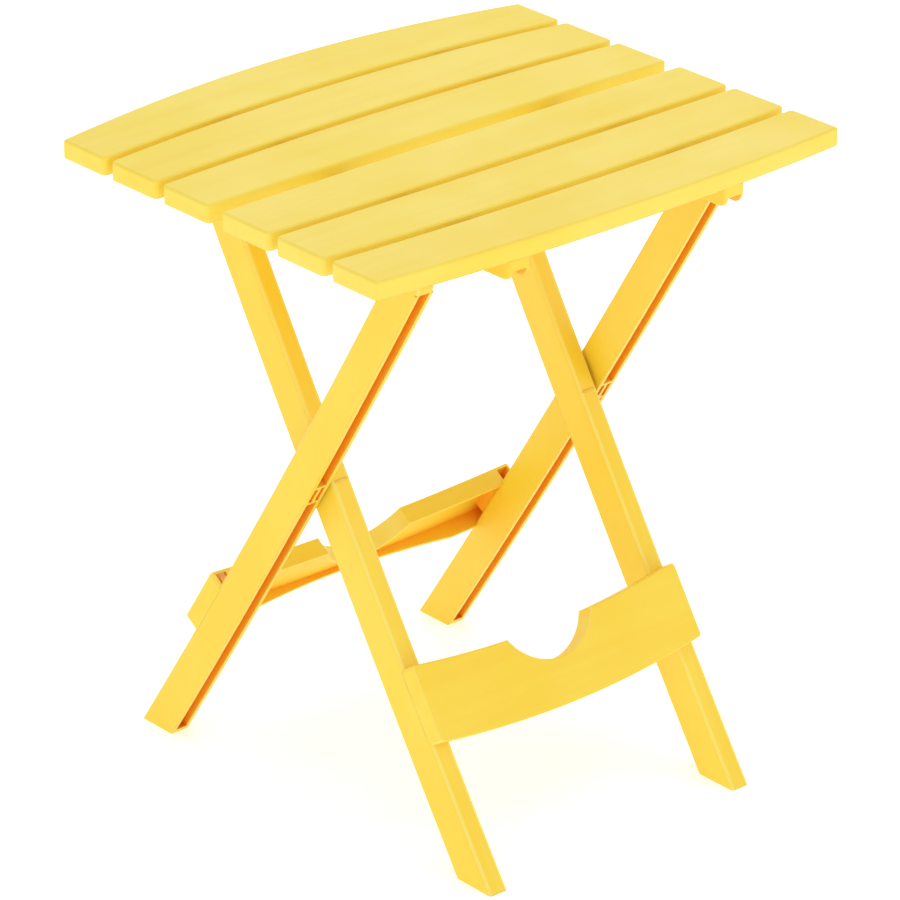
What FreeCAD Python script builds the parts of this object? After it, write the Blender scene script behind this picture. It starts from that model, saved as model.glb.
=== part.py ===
"""Folding slatted side table in moulded plastic, open and standing on its feet.

Millimetres. The origin is on the floor under the middle of the top, X runs along
the slats, -Y is the front and +Z is up.  "Outer" is the leg frame whose tops are
at the front, "inner" the frame nested inside it whose tops are at the back.
"""
import math
import os

import FreeCAD
import Part
from FreeCAD import Vector

os.makedirs("parts", exist_ok=True)

# ---- Table top -------------------------------------------------------------
TOP_Z = 507.0            # height of the top face at the slats' ends
SLAT_THICK = 14.0        # depth of the slats' edges
TOP_HALF_LENGTH = 222.0  # half the length of every slat
MIDDLE_GAP = 15.0        # gap between the two folding halves
SLAT_GAP = 7.0           # gap between the slats of one half
SLAT_CORNER = 4.5        # rounding of the slats' corners seen from above
HINGE_CORNER = 3.0       # the same beside the middle gap
TABLE_CORNER = 2.0       # the same at the four corners of the table
TOP_EDGE = 1.8           # rounding along the top edges
SLAB_SPARE = 4.0         # how far the arched slab of a slat is made beyond its outline
RECESS = 3.0             # depth of the panels sunk in the underside
RECESS_RIM = 5.0         # flat rim left around them
RIB = 3.0                # thickness of the ribs between them
RECESS_RIBS = (0.0, 36.0, 72.0, 103.5, 140.0, 180.0)

# Distance from the middle of the top, at mid-length and at the slats' ends.
OUTER_EDGE = (194.5, 176.0)
FIRST_GAP = (133.9, 123.2)
SECOND_GAP = (68.9, 63.6)

# How much the slats arch up at mid-length, at the same four edges.
OUTER_RISE = 4.6
FIRST_RISE = 2.5
SECOND_RISE = 2.0
MIDDLE_RISE = 1.5
ABOVE_TOP = TOP_Z + 20   # any height clear above the whole top
SPARE = 6.0              # how far cutting shapes reach past a surface

# ---- Leg frames ------------------------------------------------------------
CROSS_Z = 271.5          # height of the crossing pivots
LEAN_SLOPE = 0.6264      # sideways run of a leg per unit of height, at the crossing
LEAN_CURVE = -8e-5       # how fast that slope eases off with height
LEG_HALF = 15.1          # half the depth of a leg, across its centre line
SIDE_WALL = 3.4          # walls of the channel section
WEB = 3.0                # closed face of the channel section
SOLE = 4.0               # floor of the channel at the foot
LEG_EDGE = 2.6           # rounding along the closed face
INNER_LEG_X = (114.2, 131.2)
OUTER_LEG_X = (134.0, 150.3)

# ---- Pivots ----------------------------------------------------------------
PIVOT_Z = 470.0          # height of the pivots between the frames and the top
CENTRE_Z = 474.0         # height of the hinge in the middle of the top
PIN_FIT = 0.06           # radial clearance of a turning pin
CROSS_PIN = 4.5
CROSS_COLLAR = 8.0
TOP_PIN = 4.0
TOP_PIN_HEAD = 6.0
CENTRE_PIN = 3.0
CENTRE_PIN_HEAD = 4.6
PIN_END = 0.6            # bevel round the pins' ends
HEAD_THICK = 2.2
HEAD_EDGE = 1.2          # rounding of the heads
COLLAR_GAP = 0.2         # play between the crossing pin's collar and the inner leg
FRONT_PIN_GAP = 0.3      # play between the front pins' heads and the rails
BLIND_ROOM = 1.0         # solid left between a top pin's blind end and the channel's far wall
PIN_BOSS = 9.0           # solid round a pin inside a leg's channel
CROSS_BOSS = 10.4        # half length of the boss that bridges the channel at the crossing
POCKET = (3.4, 7.9, 6.0)  # width, half length and depth of the two pockets in it
BEAD = (0.8, 0.6, 9.4)   # height, half width and place below the crossing of the leg's bead

# ---- Rails under the slats -------------------------------------------------
RAIL_X = (94.0, 113.0)
RAIL_BOTTOM = 481.0
RAIL_END_Y = 190.0       # outer end, flush with the curved edge of the top
RAIL_NOSE = 7.0          # rounding of the outer end's lower corner
RAIL_EDGE = 1.6          # rounding along the lower edges
RAIL_WALL = 3.2          # side walls of the channel along its underside
RAIL_HOLLOW = 7.0        # depth of that channel
RAIL_HUB = 20.0          # length left solid beside the middle hinge
RAIL_ABUT = 0.4          # distance of the inner end from the middle
EAR = 9.0                # radius of the ear round a top pivot
CRADLE_ROOM = 0.4        # play of the inner frame's pin in its cradle
CRADLE_WALL = 5.0
KNUCKLE = 6.4            # radius of the centre hinge's knuckles
KNUCKLE_ROOM = 0.7       # space between a knuckle and the opposite rail
KNUCKLE_ROOT = 14.0      # length over which a knuckle grows out of its rail
KNUCKLE_SPLIT = 103.5    # distance from the middle at which the knuckles meet
KNUCKLE_PLAY = 0.35

# ---- Braces ----------------------------------------------------------------
BRACE_Z = 110.0          # height on the leg from which a brace is measured
BRACE_SEAT = 2.8         # how far it reaches back over the legs' rounded edges
BRACE_DEPTH = 15.8       # its whole depth
BRACE_SKIN = 2.8
BRACE_BOW = 9.5          # both long edges dip this much in the middle
INNER_BRACE = (-23.0, 37.0)   # lower and upper edge along the leg, at the ends
OUTER_BRACE = (-17.5, 41.0)
BRACE_CORNER = 3.0
BRACE_EDGE = 1.2         # rounding round the front face
NOTCH_RADIUS = 46.0      # hand notch in the upper edge
NOTCH_LIFT = 21.0        # height of its centre above the edge
FLANGE_MID_DEPTH = 7.0   # depth of the lower flange at mid-length
SCOOP_HALF = 108.0       # half the length over which that flange gets shallower
SCOOP_HEIGHT = 25.0
PAD = (6.0, 13.0)        # solid pads over the legs, measured in from the brace's ends
PAD_MARGIN = 12.0        # and from its long edges
CORNER_SLOT = (3.2, 13.0)   # slots in the back brace's upper flange, from its ends
CORNER_SLOT_DROP = 8.0


def block(x, y, z):
    """Box between two values on each axis."""
    low = Vector(min(x), min(y), min(z))
    return Part.makeBox(max(x) - low.x, max(y) - low.y, max(z) - low.z, low)


def round_bar(x, y, z, radius):
    """Cylinder along X through (y, z)."""
    start = min(x)
    return Part.makeCylinder(radius, max(x) - start, Vector(start, y, z), Vector(1, 0, 0))


def arc(first, middle, last):
    return Part.Arc(first, middle, last).toShape()


def parabola(first, middle, last):
    """Very flat parabola whose halfway point is `middle`."""
    curve = Part.BezierCurve()
    curve.setPoles([first, middle * 2 - (first + last) * 0.5, last])
    return curve.toShape()


def across(x):
    return Vector(x, 0, 0)


def left_of(shape):
    """Mirror image on the left of the table."""
    return shape.mirror(Vector(0, 0, 0), Vector(1, 0, 0))


def behind(shape):
    """Mirror image at the back of the table."""
    return shape.mirror(Vector(0, 0, 0), Vector(0, 1, 0))


def export(name, shape):
    shape = shape.removeSplitter()
    solids = shape.Solids
    if len(solids) != 1 or not solids[0].isValid():
        raise ValueError(f"{name}: {len(solids)} solids")
    solids[0].exportStep(f"parts/{name}.step")


# ---- Slats -----------------------------------------------------------------
def edge_arc(edge, x_end, z):
    """Long edge of a slat in plan: `edge` gives its distance at mid-length and end."""
    middle, end = edge
    left, right = Vector(-x_end, -end, z), Vector(x_end, -end, z)
    if middle == end:
        return Part.makeLine(left, right)
    return arc(left, Vector(0, -middle, z), right)


def outline(outer, inner, height):
    """Slat at the front seen from above, as a prism from the floor of the top up."""
    long_edges = [edge_arc(outer, TOP_HALF_LENGTH, 0), edge_arc(inner, TOP_HALF_LENGTH, 0)]
    ends = []
    for side in (-1, 1):
        x = side * TOP_HALF_LENGTH
        ends.append(Part.makeLine(Vector(x, -outer[1], 0), Vector(x, -inner[1], 0)))
    face = Part.Face(Part.Wire(Part.__sortEdges__(long_edges + ends)))
    return face, face.extrude(Vector(0, 0, height))


def arched_slab(outer, inner, outer_rise, inner_rise):
    """Slab under the slat's whole outline, arched along X, a little more at its outer edge."""
    slope = (outer_rise - inner_rise) / (outer[0] - inner[0])
    profiles = []
    for distance in (outer[0] + SLAB_SPARE, inner[1] - SLAB_SPARE):
        rise = outer_rise + slope * (distance - outer[0])
        x_end = TOP_HALF_LENGTH + SLAB_SPARE
        drop = rise * (1 - (x_end / TOP_HALF_LENGTH) ** 2)
        wires = []
        for z in (TOP_Z, TOP_Z - SLAT_THICK):
            wires.append(arc(Vector(-x_end, -distance, z + drop), Vector(0, -distance, z + rise),
                             Vector(x_end, -distance, z + drop)))
        for side in (-1, 1):
            x = side * x_end
            wires.append(Part.makeLine(Vector(x, -distance, TOP_Z + drop),
                                       Vector(x, -distance, TOP_Z - SLAT_THICK + drop)))
        profiles.append(Part.Wire(Part.__sortEdges__(wires)))
    return Part.makeLoft(profiles, True, True)


def uprights(body, y):
    """Upright edges of a slat at its corners on one long edge."""
    found = []
    for edge in body.Edges:
        first, last = edge.Vertexes[0].Point, edge.Vertexes[-1].Point
        if abs(first.z - last.z) > 1 and abs(first.y + y) < 1:
            found.append(edge)
    return found


def slat(outer, inner, slab, outer_corner, inner_corner):
    """Slat at the front of the table, between two long edges."""
    face, prism = outline(outer, inner, ABOVE_TOP)
    body = slab.common(prism)
    body = body.makeFillet(outer_corner, uprights(body, outer[1]))
    body = body.makeFillet(inner_corner, uprights(body, inner[1]))
    upper = [e for e in body.Edges if min(v.Z for v in e.Vertexes) > TOP_Z - 1]
    body = body.makeFillet(TOP_EDGE, upper)

    sunk = face.makeOffset2D(-RECESS_RIM).extrude(Vector(0, 0, TOP_Z))
    panel_roof = slab.copy()
    panel_roof.translate(Vector(0, 0, RECESS - SLAT_THICK))
    sunk = sunk.common(panel_roof)
    ribs = []
    for distance in RECESS_RIBS:
        for side in ((1,) if distance == 0 else (-1, 1)):
            x = side * distance
            ribs.append(block((x - RIB / 2, x + RIB / 2), (-outer[0], 0), (0, TOP_Z)))
    return body.cut(sunk.cut(Part.makeCompound(ribs)))


def beyond(edge, distance):
    """The edge moved away from the middle of the top."""
    return tuple(value + distance for value in edge)


# ---- Side view of the legs -------------------------------------------------
def leg_point(z, offset, lean):
    """Side-view point, `offset` above a leg's centre line at height z.

    lean is +1 for the inner frame, which rises toward the back, and -1 for the
    outer frame.
    """
    rise = z - CROSS_Z
    slope = lean * (LEAN_SLOPE + 2 * LEAN_CURVE * rise)
    y = lean * (LEAN_SLOPE * rise + LEAN_CURVE * rise ** 2)
    stretch = math.hypot(1, slope)
    return Vector(0, y - lean * offset / stretch, z + abs(slope) * offset / stretch)


def leg_direction(z, lean):
    """Unit vector up along a leg at height z."""
    slope = lean * (LEAN_SLOPE + 2 * LEAN_CURVE * (z - CROSS_Z))
    return Vector(0, slope, 1).normalize()


def side_line(base, offset, lean):
    """Three points along a leg at one offset, the first at height `base`."""
    start = base
    for _ in range(20):
        start += base - leg_point(start, offset, lean).z
    heights = (start, 0.5 * (start + PIVOT_Z), PIVOT_Z)
    return [leg_point(z, offset, lean) for z in heights]


def leg_band(x, lean, base, lower, upper):
    """Strip of a leg between two offsets from its centre line, from `base` to the pivot."""
    low_side = side_line(base, lower, lean)
    high_side = side_line(base, upper, lean)
    face = Part.Face(Part.Wire(Part.__sortEdges__([
        parabola(*low_side),
        parabola(*high_side),
        Part.makeLine(low_side[0], high_side[0]),
        Part.makeLine(low_side[2], high_side[2]),
    ])))
    face.translate(across(x[0]))
    return face.extrude(across(x[1] - x[0]))


def leg_top(x, lean):
    """Rounded end of a leg above its pivot, with softened rims."""
    crown = leg_point(PIVOT_Z, 0, lean) + leg_direction(PIVOT_Z, lean) * LEG_HALF
    low, high = leg_point(PIVOT_Z, -LEG_HALF, lean), leg_point(PIVOT_Z, LEG_HALF, lean)
    face = Part.Face(Part.Wire([arc(low, crown, high), Part.makeLine(high, low)]))
    face.translate(across(x[0]))
    cap = face.extrude(across(x[1] - x[0]))
    rims = [e for e in cap.Edges if e.Length > 3 * LEG_HALF]
    return cap.makeFillet(LEG_EDGE, rims)


def leg_axes(lean):
    """Crossing point, direction up the leg there and direction out of its closed face."""
    along = leg_direction(CROSS_Z, lean)
    return leg_point(CROSS_Z, 0, lean), along, Vector(0, -lean * along.z, abs(along.y))


def leg_block(x, across_leg, along_leg, lean):
    """Block at the crossing whose sides run across and along the leg."""
    cross, along, out = leg_axes(lean)
    corners = []
    for offset, distance in zip((0, 0, 1, 1, 0), (0, 1, 1, 0, 0)):
        corners.append(across(x[0]) + cross + out * across_leg[offset] + along * along_leg[distance])
    return Part.Face(Part.makePolygon(corners)).extrude(across(x[1] - x[0]))


def leg(x, lean):
    """Leg on the right, a channel open along its lower side."""
    pivot = leg_point(PIVOT_Z, 0, lean)

    body = leg_band(x, lean, 0, -LEG_HALF, LEG_HALF)
    cross, _, out = leg_axes(lean)
    rounded = []
    for edge in body.Edges:
        middle = edge.valueAt((edge.FirstParameter + edge.LastParameter) / 2)
        if edge.Length > CROSS_Z and (middle - cross).dot(out) > 0:
            rounded.append(edge)
    body = body.makeFillet(LEG_EDGE, rounded).fuse(leg_top(x, lean))

    inside = (x[0] + SIDE_WALL, x[1] - SIDE_WALL)
    groove = leg_band(inside, lean, SOLE, -LEG_HALF - SPARE, LEG_HALF - WEB)
    groove = groove.cut([
        leg_block(inside, (-LEG_HALF, LEG_HALF), (-CROSS_BOSS, CROSS_BOSS), lean),
        round_bar(inside, pivot.y, pivot.z, PIN_BOSS),
    ])
    body = body.cut(groove)

    # Two pockets in the boss at the crossing, and a bead across the closed face below it.
    width, half_length, depth = POCKET
    for pocket_x in ((inside[0], inside[0] + width), (inside[1] - width, inside[1])):
        body = body.cut(leg_block(pocket_x, (-LEG_HALF - SPARE, depth - LEG_HALF),
                                  (-half_length, half_length), lean))
    height, half_width, place = BEAD
    bead_x = (x[0] + LEG_EDGE, x[1] - LEG_EDGE)
    bead = leg_block(bead_x, (LEG_HALF - 1, LEG_HALF + height),
                     (-place - half_width, -place + half_width), lean)
    return body.fuse(bead)


def brace(half_length, span, leg_shapes, open_corners):
    """Brace of the inner frame, built flat and then laid on the legs' upper faces."""
    low, high = span
    ends = {side: side * half_length for side in (-1, 1)}
    top = arc(Vector(ends[-1], high, 0), Vector(0, high - BRACE_BOW, 0), Vector(ends[1], high, 0))
    bottom = arc(Vector(ends[-1], low, 0), Vector(0, low - BRACE_BOW, 0), Vector(ends[1], low, 0))
    sides = [Part.makeLine(Vector(x, low, 0), Vector(x, high, 0)) for x in ends.values()]
    front = Part.Face(Part.Wire(Part.__sortEdges__([top, bottom] + sides)))
    body = front.extrude(Vector(0, 0, BRACE_DEPTH))
    uprights = [e for e in body.Edges if abs(e.Vertexes[0].Z - e.Vertexes[-1].Z) > 1]
    body = body.makeFillet(BRACE_CORNER, uprights)
    notch_y = high - BRACE_BOW + NOTCH_LIFT
    notch = Part.makeCylinder(NOTCH_RADIUS, BRACE_DEPTH + 2 * SPARE, Vector(0, notch_y, -SPARE))
    body = body.cut(notch)
    face_edges = [e for e in body.Edges if min(v.Z for v in e.Vertexes) > BRACE_DEPTH - 0.01]
    body = body.makeFillet(BRACE_EDGE, face_edges)

    back = [f for f in body.Faces if f.BoundBox.ZMax < 0.01][0]
    hollow = back.makeOffset2D(-BRACE_SKIN).extrude(Vector(0, 0, BRACE_DEPTH - BRACE_SKIN))

    pads = []
    for side in (-1, 1):
        pad_x = [side * (half_length - distance) for distance in PAD]
        pads.append(block(pad_x, (low + PAD_MARGIN, high - PAD_MARGIN), (-SPARE, BRACE_DEPTH)))
    body = body.cut(hollow.cut(pads))

    # The lower flange is shallower away from the legs.
    scoop_depth = BRACE_DEPTH - FLANGE_MID_DEPTH
    left, right = Vector(-SCOOP_HALF, 0, 0), Vector(SCOOP_HALF, 0, 0)
    curve = arc(left, Vector(0, 0, scoop_depth), right)
    scoop = Part.Face(Part.Wire([curve, Part.makeLine(right, left)])).extrude(Vector(0, SCOOP_HEIGHT, 0))
    scoop.translate(Vector(0, low - BRACE_BOW - SPARE, 0))
    body = body.cut(scoop)

    if open_corners:
        for side in (-1, 1):
            slot_x = [side * (half_length - distance) for distance in CORNER_SLOT]
            slot_y = (high - CORNER_SLOT_DROP, high + SPARE)
            body = body.cut(block(slot_x, slot_y, (-SPARE, BRACE_DEPTH - BRACE_SKIN)))

    direction = leg_direction(BRACE_Z, 1)
    normal = Vector(0, -direction.z, direction.y)
    origin = leg_point(BRACE_Z, LEG_HALF - BRACE_SEAT, 1)
    body = body.transformGeometry(FreeCAD.Matrix(
        1, 0, 0, 0,
        0, direction.y, normal.y, origin.y,
        0, direction.z, normal.z, origin.z,
        0, 0, 0, 1,
    ))
    return body.cut(leg_shapes)


# ---- Rails -----------------------------------------------------------------
def rail_bar(slabs):
    """Plain rail at the front right, without its pivots, up to the underside of the slats."""
    outer, inner = -RAIL_END_Y, -RAIL_ABUT
    nose_centre = Vector(0, outer + RAIL_NOSE, RAIL_BOTTOM + RAIL_NOSE)
    nose_middle = nose_centre - Vector(0, 1, 1).normalize() * RAIL_NOSE
    nose_start = Vector(0, outer, nose_centre.z)
    nose_end = Vector(0, nose_centre.y, RAIL_BOTTOM)
    edges = [
        Part.makeLine(Vector(0, outer, TOP_Z), nose_start),
        arc(nose_start, nose_middle, nose_end),
        Part.makeLine(nose_end, Vector(0, inner, RAIL_BOTTOM)),
        Part.makeLine(Vector(0, inner, RAIL_BOTTOM), Vector(0, inner, TOP_Z)),
        Part.makeLine(Vector(0, inner, TOP_Z), Vector(0, outer, TOP_Z)),
    ]
    side = Part.Face(Part.Wire(edges))
    side.translate(across(RAIL_X[0]))
    bar = side.extrude(across(RAIL_X[1] - RAIL_X[0]))
    lower = []
    for edge in bar.Edges:
        centre = edge.CenterOfMass
        on_side = min(abs(centre.x - x) for x in RAIL_X) < 0.01
        if on_side and centre.z < RAIL_BOTTOM + RAIL_NOSE - 1:
            lower.append(edge)
    bar = bar.makeFillet(RAIL_EDGE, lower)

    # A channel along the underside, left solid at the pivot and at the middle hinge.
    pivot = leg_point(PIVOT_Z, 0, -1)
    inside = (RAIL_X[0] + RAIL_WALL, RAIL_X[1] - RAIL_WALL)
    depth = (RAIL_BOTTOM - SPARE, RAIL_BOTTOM + RAIL_HOLLOW)
    channel = [
        block(inside, (outer - SPARE, pivot.y - EAR), depth),
        block(inside, (pivot.y + EAR, -RAIL_HUB), depth),
    ]
    return bar.cut(slabs + channel)


def with_knuckle(bar, own_x, other_x):
    """Front rail with its half of the centre hinge, and room for the other half."""
    bar = bar.fuse([
        round_bar(own_x, 0, CENTRE_Z, KNUCKLE),
        block(own_x, (-KNUCKLE_ROOT, -RAIL_ABUT), (CENTRE_Z, RAIL_BOTTOM + RAIL_EDGE)),
    ])
    other = (min(other_x) - KNUCKLE_PLAY, max(other_x) + KNUCKLE_PLAY)
    return bar.cut(round_bar(other, 0, CENTRE_Z, KNUCKLE + KNUCKLE_ROOM))


def front_rail(slabs):
    """Rail at the front right: a closed ear on the outer frame's pin."""
    pivot = leg_point(PIVOT_Z, 0, -1)
    own_x = (RAIL_X[0], KNUCKLE_SPLIT)
    other_x = (KNUCKLE_SPLIT, RAIL_X[1])
    bar = rail_bar(slabs).fuse([
        round_bar(RAIL_X, pivot.y, pivot.z, EAR),
        block(RAIL_X, (pivot.y - EAR, pivot.y + EAR), (pivot.z, RAIL_BOTTOM + RAIL_EDGE)),
    ])
    bar = with_knuckle(bar, own_x, other_x)
    return bar.cut([
        round_bar(RAIL_X, pivot.y, pivot.z, TOP_PIN + PIN_FIT),
        round_bar(RAIL_X, 0, CENTRE_Z, CENTRE_PIN),
    ])


def back_rail(slabs):
    """Rail at the back right: a cradle that rests on the inner frame's pin.

    The cradle is open below and toward the middle of the top.
    """
    pivot = leg_point(PIVOT_Z, 0, -1)
    room = TOP_PIN + CRADLE_ROOM
    own_x = (KNUCKLE_SPLIT + KNUCKLE_PLAY, RAIL_X[1])
    other_x = (RAIL_X[0], KNUCKLE_SPLIT)
    far = pivot.y - room - CRADLE_WALL
    cradle = block(RAIL_X, (far, pivot.y + EAR), (pivot.z - EAR, RAIL_BOTTOM + RAIL_EDGE))
    below = pivot.z - EAR - SPARE
    cradle = cradle.cut([
        round_bar(RAIL_X, pivot.y, pivot.z, room),
        block(RAIL_X, (pivot.y - room, pivot.y), (below, pivot.z)),
        block(RAIL_X, (pivot.y, pivot.y + EAR + SPARE), (below, pivot.z + room)),
    ])
    bar = with_knuckle(rail_bar(slabs).fuse(cradle), own_x, other_x)
    return behind(bar.cut(round_bar(RAIL_X, 0, CENTRE_Z, CENTRE_PIN + PIN_FIT)))


# ---- Pins ------------------------------------------------------------------
def pin(start, end, y, z, radius):
    """Pin along X with softened ends."""
    bar = round_bar((start, end), y, z, radius)
    return bar.makeChamfer(PIN_END, [e for e in bar.Edges if e.Closed])


def headed_pin(start, end, y, z, radius, head):
    """Pin whose head is at its start, beside the inner face of a rail."""
    shank = pin(start - HEAD_THICK / 2, end, y, z, radius)
    cap = round_bar((start - HEAD_THICK, start), y, z, head)
    rim = [e for e in cap.Edges if e.Closed and e.Vertexes[0].X < start - HEAD_THICK / 2]
    return shank.fuse(cap.makeFillet(HEAD_EDGE, rim))


def build():
    gap = SLAT_GAP / 2
    middle = (MIDDLE_GAP / 2, MIDDLE_GAP / 2)
    slats = {
        "outer": (OUTER_EDGE, beyond(FIRST_GAP, gap), (OUTER_RISE, FIRST_RISE),
                  (TABLE_CORNER, SLAT_CORNER)),
        "mid": (beyond(FIRST_GAP, -gap), beyond(SECOND_GAP, gap), (FIRST_RISE, SECOND_RISE),
                (SLAT_CORNER, SLAT_CORNER)),
        "inner": (beyond(SECOND_GAP, -gap), middle, (SECOND_RISE, MIDDLE_RISE),
                  (SLAT_CORNER, HINGE_CORNER)),
    }
    slabs = []
    for name, (outer, inner, rises, corners) in slats.items():
        slab = arched_slab(outer, inner, *rises)
        shape = slat(outer, inner, slab, *corners)
        export(f"front_slat_{name}", shape)
        export(f"back_slat_{name}", behind(shape))
        slabs.append(slab)
    slabs.append(block((0, TOP_HALF_LENGTH), (-MIDDLE_GAP, MIDDLE_GAP),
                       (TOP_Z - SLAT_THICK + MIDDLE_RISE, ABOVE_TOP)))

    front_pivot = leg_point(PIVOT_Z, 0, -1)
    back_pivot = leg_point(PIVOT_Z, 0, 1)
    outer_leg = leg(OUTER_LEG_X, -1)
    inner_leg = leg(INNER_LEG_X, 1)

    # Each pin's span along X on the right of the table.
    cross_span = (INNER_LEG_X[0] + SIDE_WALL, OUTER_LEG_X[1] - SIDE_WALL)
    front_span = (RAIL_X[0] - FRONT_PIN_GAP, OUTER_LEG_X[1] - SIDE_WALL - BLIND_ROOM)
    back_span = (RAIL_X[0] + PIN_END, INNER_LEG_X[1] - SIDE_WALL - BLIND_ROOM)
    centre_span = (RAIL_X[0], RAIL_X[1] - PIN_END)
    collar = round_bar((INNER_LEG_X[1] + COLLAR_GAP, OUTER_LEG_X[0]), 0, CROSS_Z, CROSS_COLLAR)
    cross_pin = pin(*cross_span, 0, CROSS_Z, CROSS_PIN).fuse(collar)
    front_pin = headed_pin(*front_span, front_pivot.y, PIVOT_Z, TOP_PIN, TOP_PIN_HEAD)
    back_pin = pin(*back_span, back_pivot.y, PIVOT_Z, TOP_PIN)
    centre_pin = headed_pin(*centre_span, 0, CENTRE_Z, CENTRE_PIN, CENTRE_PIN_HEAD)

    outer_leg = outer_leg.cut([
        round_bar((OUTER_LEG_X[0], cross_span[1]), 0, CROSS_Z, CROSS_PIN),
        round_bar((OUTER_LEG_X[0], front_span[1]), front_pivot.y, PIVOT_Z, TOP_PIN),
    ])
    inner_leg = inner_leg.cut([
        round_bar((cross_span[0] - PIN_FIT, INNER_LEG_X[1]), 0, CROSS_Z, CROSS_PIN + PIN_FIT),
        round_bar((INNER_LEG_X[0], back_span[1]), back_pivot.y, PIVOT_Z, TOP_PIN),
    ])

    pairs = {
        "outer_leg": outer_leg,
        "inner_leg": inner_leg,
        "front_rail": front_rail(slabs),
        "back_rail": back_rail(slabs),
        "cross_pin": cross_pin,
        "front_pin": front_pin,
        "back_pin": back_pin,
        "centre_pin": centre_pin,
    }
    for name, shape in pairs.items():
        export(f"{name}_right", shape)
        export(f"{name}_left", left_of(shape))

    inner_legs = [inner_leg, left_of(inner_leg)]
    export("front_brace", brace(INNER_LEG_X[1], INNER_BRACE, inner_legs, False))
    outer_legs = [behind(outer_leg), behind(left_of(outer_leg))]
    export("back_brace", behind(brace(OUTER_LEG_X[1], OUTER_BRACE, outer_legs, True)))


build()
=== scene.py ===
"""Folding slatted side table in moulded plastic: materials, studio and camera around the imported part."""
import math
from typing import NamedTuple

import bpy
from mathutils import Matrix, Vector

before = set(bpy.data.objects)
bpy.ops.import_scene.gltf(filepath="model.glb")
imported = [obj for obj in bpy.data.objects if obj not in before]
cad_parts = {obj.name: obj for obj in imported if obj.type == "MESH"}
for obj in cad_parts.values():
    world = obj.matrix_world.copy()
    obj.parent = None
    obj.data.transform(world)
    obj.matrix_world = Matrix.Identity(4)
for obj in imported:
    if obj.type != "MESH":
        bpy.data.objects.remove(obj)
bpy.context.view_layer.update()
scene = bpy.context.scene


class Look(NamedTuple):
    """What sets one kind of piece's resin apart."""
    yellows: tuple
    flow: tuple             # flow streaks per metre along each axis
    grain: float            # pebbles per metre
    roughness: float
    edge_radius: float      # radius of the softened edges
    painted_shade_reach: float     # how far away a wall still darkens a cavity with painted orange shade
    ridge_highlight: float           # how strongly a painted highlight pales the roundings beside its closed face


class Noise(NamedTuple):
    """A noise, and the two of its levels between which it fades in."""
    scale: float            # features per metre
    detail: float
    rough: float
    low: float
    high: float


# ---- Camera: metres and degrees in the row frame ---------------------------
CAMERA_PLACE = (-2.283361, -2.614979, 1.863149)
CAMERA_AZIMUTH = -41.108
CAMERA_ELEVATION = 24.892
CAMERA_ROLL = 0.062
CAMERA_LENS = 203.89      # on a 36 mm sensor
CAMERA_CLIP = (0.1, 60)

# ---- Resin colours (linear) ------------------------------------------------
# Each set holds the plain colour, its pale clouds and its deep flow streaks.
# The slats' paler, bluer yellow is partly a painted sheen of the lit top, the frames' deeper yellow partly
# painted shade under it.
SLAT_YELLOWS = ((0.935, 0.715, 0.066), (0.940, 0.750, 0.106), (0.930, 0.630, 0.030))
FRAME_YELLOWS = ((0.935, 0.665, 0.034), (0.940, 0.705, 0.062), (0.925, 0.585, 0.014))
# Pale of the edges, partly real wear and partly a painted highlight on edges and roundings
EDGE_WEAR_AND_HIGHLIGHT_PALE = (0.960, 0.790, 0.185)
# Painted shade: the deep orange that cavities are mixed towards, standing in for light bounced between yellow
# walls
PAINTED_SHADE_ORANGE = (0.960, 0.330, 0.005)
# Painted glow: cavities emit a faint orange light of their own, standing in for light seeping through thin
# walls
PAINTED_GLOW_COLOUR = (1.0, 0.15, 0.0)
PAINTED_GLOW_STRENGTH = 0.055

# ---- Resin per kind of piece -----------------------------------------------
ALONG_X = (3.0, 60.0, 60.0)      # flow of pieces that lie along X
UPRIGHT = (70.0, 9.0, 5.0)       # flow of upright ones
RESINS = {
    "slat": Look(SLAT_YELLOWS, ALONG_X, 620.0, 0.46, 0.0014, 0.010, 0.0),
    "leg": Look(FRAME_YELLOWS, UPRIGHT, 700.0, 0.42, 0.0014, 0.022, 0.75),
    "brace": Look(FRAME_YELLOWS, ALONG_X, 700.0, 0.42, 0.0002, 0.034, 0.60),
    "rail": Look(FRAME_YELLOWS, ALONG_X, 760.0, 0.44, 0.0010, 0.022, 0.0),
    "pin": Look(FRAME_YELLOWS, ALONG_X, 1100.0, 0.34, 0.0008, 0.022, 0.0),
}
RESIN_IOR = 1.49
RESIN_GLOSS = 0.5

# ---- Resin pattern ---------------------------------------------------------
CLOUDS = Noise(7.0, 3.0, 0.5, 0.35, 0.68)
STREAKS = Noise(1.0, 5.0, 0.65, 0.40, 0.66)      # its scale is times the piece's flow
SPECKLE = Noise(900.0, 2.0, 0.7, 0.55, 0.75)
CLOUD_AMOUNT = 0.75
STREAK_AMOUNT = 0.30
SPECKLE_AMOUNT = 0.16

WORN_PATCHES = Noise(45.0, 4.0, 0.6, 0.42, 0.62)
EDGE_WEAR_AND_HIGHLIGHT_AMOUNT = 0.5                # painted highlight and wear on every edge, and more wear in the patches
WORN_PATCH_AMOUNT = 0.55
EDGE_SAMPLES = 4
EDGE_TURN = (0.995, 0.86)        # cosines of the turn at which an edge begins and is full
EDGE_SHINE = 0.05
RIDGE_HIGHLIGHT_TURN = (0.06, 0.20)       # the same for the painted highlight on roundings: n(1 - n), n being the normal's X

HOLLOW_SAMPLES = 8
HOLLOW_SKY = (0.92, 0.16)        # shares of open sky at which the painted shade begins and is full

POLISH = Noise(16.0, 5.0, 0.6, 0.30, 0.72)
POLISH_SWING = 0.06              # of the roughness, either way

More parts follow.
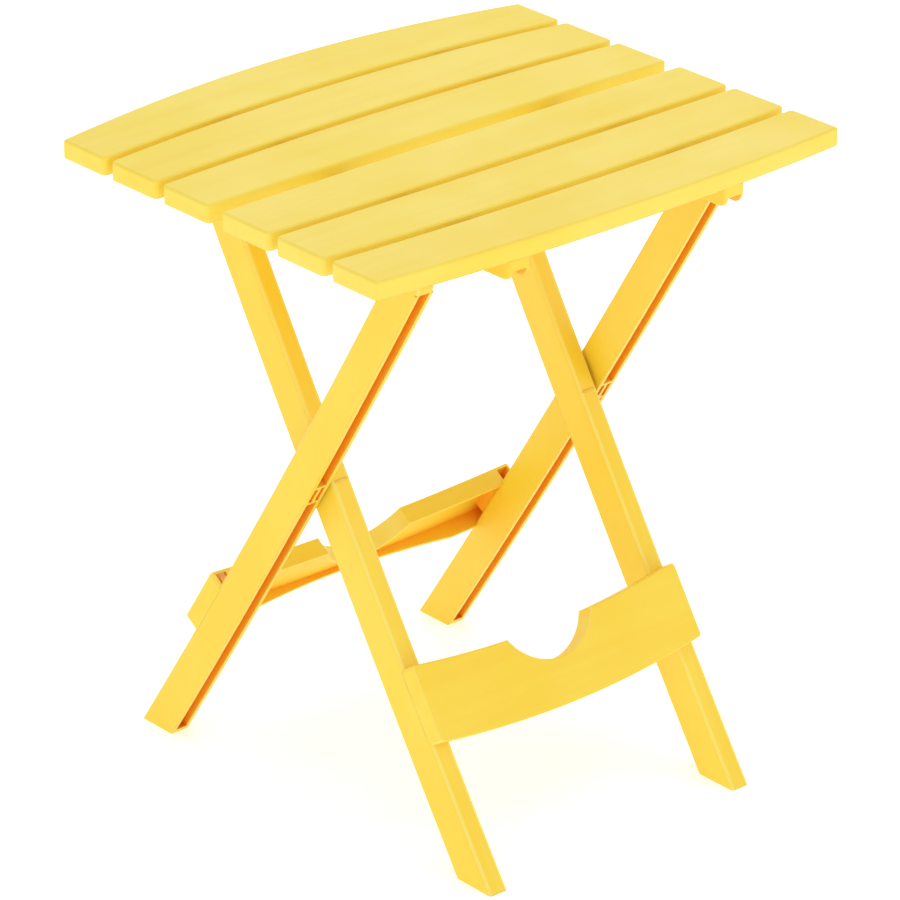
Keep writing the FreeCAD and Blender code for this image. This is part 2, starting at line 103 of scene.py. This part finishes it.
# ---- Resin relief: depths in metres ----------------------------------------
WAVE_SCALE = 21.0
WAVE_DETAIL = 1.0
WAVE_STRENGTH = 0.25
WAVE_DEPTH = 0.0016
PEBBLE_STRENGTH = 0.32
PEBBLE_DEPTH = 0.00012
FINE_GRAIN = 2.3                 # times the pebbles' own scale
FINE_DETAIL = 2.0
FINE_AMOUNT = 0.6

# ---- Studio ----------------------------------------------------------------
FLOOR_SIZE = 14.0
FLOOR_WHITE = 0.93
FLOOR_GLOW = 0.42                # lifts the floor to a studio sweep's even white
FLOOR_ROUGHNESS = 0.9
FLOOR_GLOSS = 0.1
WORLD_STRENGTH = 0.76
WHITE = (1, 1, 1, 1)
LIT_POINT = (0, 0, 0.3)
LIGHTS = {                       # place, size and power
    "top_light": ((0.2, -0.3, 2.6), (2.6, 2.6), 8.4),
    "left_light": ((-2.4, -0.5, 1.3), (1.8, 1.8), 5.4),
    "right_light": ((1.5, -2.3, 1.7), (1.8, 1.8), 7.4),
    "back_light": ((1.9, 2.2, 1.5), (2.4, 1.6), 8.4),
}

# A Mix node has sockets of one name for each kind of data: these are its colours'.
MIX_FIRST, MIX_SECOND, MIX_RESULT = 6, 7, 2


class Wiring:
    """Small helper that adds and links the nodes of one material."""

    def __init__(self, tree):
        self.tree = tree
        tree.nodes.clear()

    def plug(self, socket, value):
        """Link a socket to another, or set it to a constant."""
        if isinstance(value, bpy.types.NodeSocket):
            self.tree.links.new(value, socket)
        elif socket.type == "RGBA":
            socket.default_value = (*value, 1.0)
        else:
            socket.default_value = value

    def add(self, kind, settings=None, **inputs):
        made = self.tree.nodes.new(kind)
        for name, value in (settings or {}).items():
            setattr(made, name, value)
        for name, value in inputs.items():
            self.plug(made.inputs[name.replace("_", " ")], value)
        return made

    def noise(self, place, scale, detail, rough=0.5):
        made = self.add("ShaderNodeTexNoise", Vector=place, Scale=scale, Detail=detail, Roughness=rough)
        return made.outputs["Fac"]

    def patches(self, place, noise, to_low=0.0, to_high=1.0):
        """A noise that fades from one value to the other between its two levels."""
        value = self.noise(place, noise.scale, noise.detail, noise.rough)
        return self.remap(value, noise.low, noise.high, to_low, to_high)

    def remap(self, value, low, high, to_low=0.0, to_high=1.0):
        made = self.add("ShaderNodeMapRange", {"interpolation_type": "SMOOTHSTEP"}, Value=value,
                        From_Min=low, From_Max=high, To_Min=to_low, To_Max=to_high)
        return made.outputs["Result"]

    def math(self, operation, *values):
        made = self.add("ShaderNodeMath", {"operation": operation})
        for socket, value in zip(made.inputs, values):
            self.plug(socket, value)
        return made.outputs[0]

    def mix(self, factor, first, second):
        made = self.add("ShaderNodeMix", {"data_type": "RGBA"}, Factor=factor)
        self.plug(made.inputs[MIX_FIRST], first)
        self.plug(made.inputs[MIX_SECOND], second)
        return made.outputs[MIX_RESULT]


def edges(w, true_normal, radius):
    """Softened normal, and a mask of where it turns away from the face's own normal."""
    softened = w.add("ShaderNodeBevel", {"samples": EDGE_SAMPLES}, Radius=radius).outputs["Normal"]
    facing = w.add("ShaderNodeVectorMath", {"operation": "DOT_PRODUCT"})
    w.plug(facing.inputs[0], softened)
    w.plug(facing.inputs[1], true_normal)
    return softened, w.remap(facing.outputs["Value"], *EDGE_TURN)


def cloudy_yellow(w, place, look):
    """Clouds a hand wide, flow streaks along the piece and a fine speckle."""
    base, pale, deep = look.yellows
    stretched = w.add("ShaderNodeMapping", Vector=place, Scale=look.flow).outputs[0]
    colour = w.mix(w.math("MULTIPLY", w.patches(place, CLOUDS), CLOUD_AMOUNT), base, pale)
    colour = w.mix(w.math("MULTIPLY", w.patches(stretched, STREAKS), STREAK_AMOUNT), colour, deep)
    return w.mix(w.math("MULTIPLY", w.patches(place, SPECKLE), SPECKLE_AMOUNT), colour, deep)


def worn_and_highlit(w, place, colour, edge, true_normal, ridge_highlight):
    """Edges pale in patches, partly from wear and partly as a painted highlight, and the roundings beside a
    closed face get a painted highlight.
    """
    amount = w.math("MULTIPLY_ADD", w.patches(place, WORN_PATCHES), WORN_PATCH_AMOUNT, EDGE_WEAR_AND_HIGHLIGHT_AMOUNT)
    # edge wear together with a painted highlight
    colour = w.mix(w.math("MULTIPLY", edge, amount), colour, EDGE_WEAR_AND_HIGHLIGHT_PALE)

    # Painted highlight along roundings that face halfway between X and the rest
    sideways = w.add("ShaderNodeSeparateXYZ", Vector=true_normal).outputs["X"]
    turned = w.math("ABSOLUTE", sideways)
    halfway = w.math("MULTIPLY", turned, w.math("SUBTRACT", 1.0, turned))
    return w.mix(w.math("MULTIPLY", w.remap(halfway, *RIDGE_HIGHLIGHT_TURN), ridge_highlight), colour, EDGE_WEAR_AND_HIGHLIGHT_PALE)


def painted_shade_in_hollows(w, reach):
    """Mask of the cavities that get painted orange shade and a painted glow, standing in for light bouncing
    between close walls and seeping through them.
    """
    sky = w.add("ShaderNodeAmbientOcclusion", {"samples": HOLLOW_SAMPLES, "only_local": True}, Distance=reach)
    return w.remap(sky.outputs["AO"], *HOLLOW_SKY)


def satin(w, place, edge, roughness):
    """Roughness with handling polish in patches and shinier edges."""
    rough = w.patches(place, POLISH, roughness + POLISH_SWING, roughness - POLISH_SWING)
    return w.math("SUBTRACT", rough, w.math("MULTIPLY", edge, EDGE_SHINE))


def relief(w, place, softened, grain):
    """Normal with a moulded pebble grain over very shallow waves."""
    pebbles = w.add("ShaderNodeTexVoronoi", {"feature": "SMOOTH_F1"}, Vector=place, Scale=grain)
    fine = w.noise(place, grain * FINE_GRAIN, FINE_DETAIL)
    height = w.math("ADD", pebbles.outputs["Distance"], w.math("MULTIPLY", fine, FINE_AMOUNT))
    waves = w.add("ShaderNodeBump", Strength=WAVE_STRENGTH, Distance=WAVE_DEPTH,
                  Height=w.noise(place, WAVE_SCALE, WAVE_DETAIL), Normal=softened)
    grained = w.add("ShaderNodeBump", Strength=PEBBLE_STRENGTH, Distance=PEBBLE_DEPTH,
                    Height=height, Normal=waves.outputs[0])
    return grained.outputs[0]


def resin(name, look):
    """Moulded plastic: cloudy colour, edges pale from wear and a painted highlight, roundings with a painted
    highlight, painted orange shade and a painted glow in its cavities, and pebbled grain.
    """
    material = bpy.data.materials.new(name)
    material.use_nodes = True
    w = Wiring(material.node_tree)
    place = w.add("ShaderNodeTexCoord").outputs["Object"]
    true_normal = w.add("ShaderNodeNewGeometry").outputs["Normal"]

    softened, edge = edges(w, true_normal, look.edge_radius)
    # mask of the cavities that get painted shade and a painted glow
    painted_shade_mask = painted_shade_in_hollows(w, look.painted_shade_reach)
    colour = worn_and_highlit(w, place, cloudy_yellow(w, place, look), edge, true_normal, look.ridge_highlight)

    shader = w.add(
        "ShaderNodeBsdfPrincipled",
        # base colour turns orange in cavities: painted shade
        Base_Color=w.mix(painted_shade_mask, colour, PAINTED_SHADE_ORANGE),
        Roughness=satin(w, place, edge, look.roughness),
        Normal=relief(w, place, softened, look.grain),
        IOR=RESIN_IOR,
        Specular_IOR_Level=RESIN_GLOSS,
        # painted glow in the cavities
        Emission_Color=PAINTED_GLOW_COLOUR,
        Emission_Strength=w.math("MULTIPLY", painted_shade_mask, PAINTED_GLOW_STRENGTH),
    )
    w.add("ShaderNodeOutputMaterial", Surface=shader.outputs[0])
    return material


def materials():
    """One resin per kind of piece, told by the word in its name."""
    for word, look in RESINS.items():
        material = resin(f"{word}_resin", look)
        for name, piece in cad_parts.items():
            if word in name.split("_"):
                piece.data.materials.clear()
                piece.data.materials.append(material)


def softbox(name, place, size, power):
    data = bpy.data.lights.new(name, "AREA")
    data.shape = "RECTANGLE"
    data.size, data.size_y = size
    data.energy = power
    lamp = bpy.data.objects.new(name, data)
    scene.collection.objects.link(lamp)
    lamp.location = place
    lamp.rotation_euler = (Vector(LIT_POINT) - Vector(place)).to_track_quat("-Z", "Y").to_euler()


def see_through_from_below(tree, shader):
    """Let the floor be looked through from underneath, so that the table's underside shows."""
    below = tree.nodes.new("ShaderNodeNewGeometry").outputs["Backfacing"]
    clear = tree.nodes.new("ShaderNodeBsdfTransparent")
    either = tree.nodes.new("ShaderNodeMixShader")
    tree.links.new(below, either.inputs[0])
    tree.links.new(shader.outputs[0], either.inputs[1])
    tree.links.new(clear.outputs[0], either.inputs[2])
    tree.links.new(either.outputs[0], tree.nodes["Material Output"].inputs["Surface"])


def floor_paint():
    paint = bpy.data.materials.new("floor_paint")
    paint.use_nodes = True
    shader = paint.node_tree.nodes["Principled BSDF"]
    shader.inputs["Base Color"].default_value = (FLOOR_WHITE, FLOOR_WHITE, FLOOR_WHITE, 1)
    shader.inputs["Roughness"].default_value = FLOOR_ROUGHNESS
    shader.inputs["Specular IOR Level"].default_value = FLOOR_GLOSS
    shader.inputs["Emission Color"].default_value = WHITE
    shader.inputs["Emission Strength"].default_value = FLOOR_GLOW
    see_through_from_below(paint.node_tree, shader)
    return paint


def studio():
    """White floor, white surroundings and four large soft lights."""
    half = FLOOR_SIZE / 2
    mesh = bpy.data.meshes.new("floor")
    corners = [(-half, -half, 0), (half, -half, 0), (half, half, 0), (-half, half, 0)]
    mesh.from_pydata(corners, [], [(0, 1, 2, 3)])
    mesh.materials.append(floor_paint())
    floor = bpy.data.objects.new("floor", mesh)
    scene.collection.objects.link(floor)

    world = bpy.data.worlds.new("studio")
    scene.world = world
    world.use_nodes = True
    background = world.node_tree.nodes["Background"]
    background.inputs["Color"].default_value = WHITE
    background.inputs["Strength"].default_value = WORLD_STRENGTH

    for name, (place, size, power) in LIGHTS.items():
        softbox(name, place, size, power)


def camera():
    azimuth, elevation, roll = (math.radians(a) for a in (CAMERA_AZIMUTH, CAMERA_ELEVATION, CAMERA_ROLL))
    back = Vector((
        math.sin(azimuth) * math.cos(elevation),
        -math.cos(azimuth) * math.cos(elevation),
        math.sin(elevation),
    ))
    turn = back.to_track_quat("Z", "Y").to_matrix() @ Matrix.Rotation(roll, 3, "Z")
    data = bpy.data.cameras.new("camera")
    data.lens = CAMERA_LENS
    data.clip_start, data.clip_end = CAMERA_CLIP
    eye = bpy.data.objects.new("camera", data)
    eye.matrix_world = Matrix.Translation(CAMERA_PLACE) @ turn.to_4x4()
    scene.collection.objects.link(eye)
    scene.camera = eye


materials()
studio()
camera()
scene.view_settings.view_transform = "Standard"
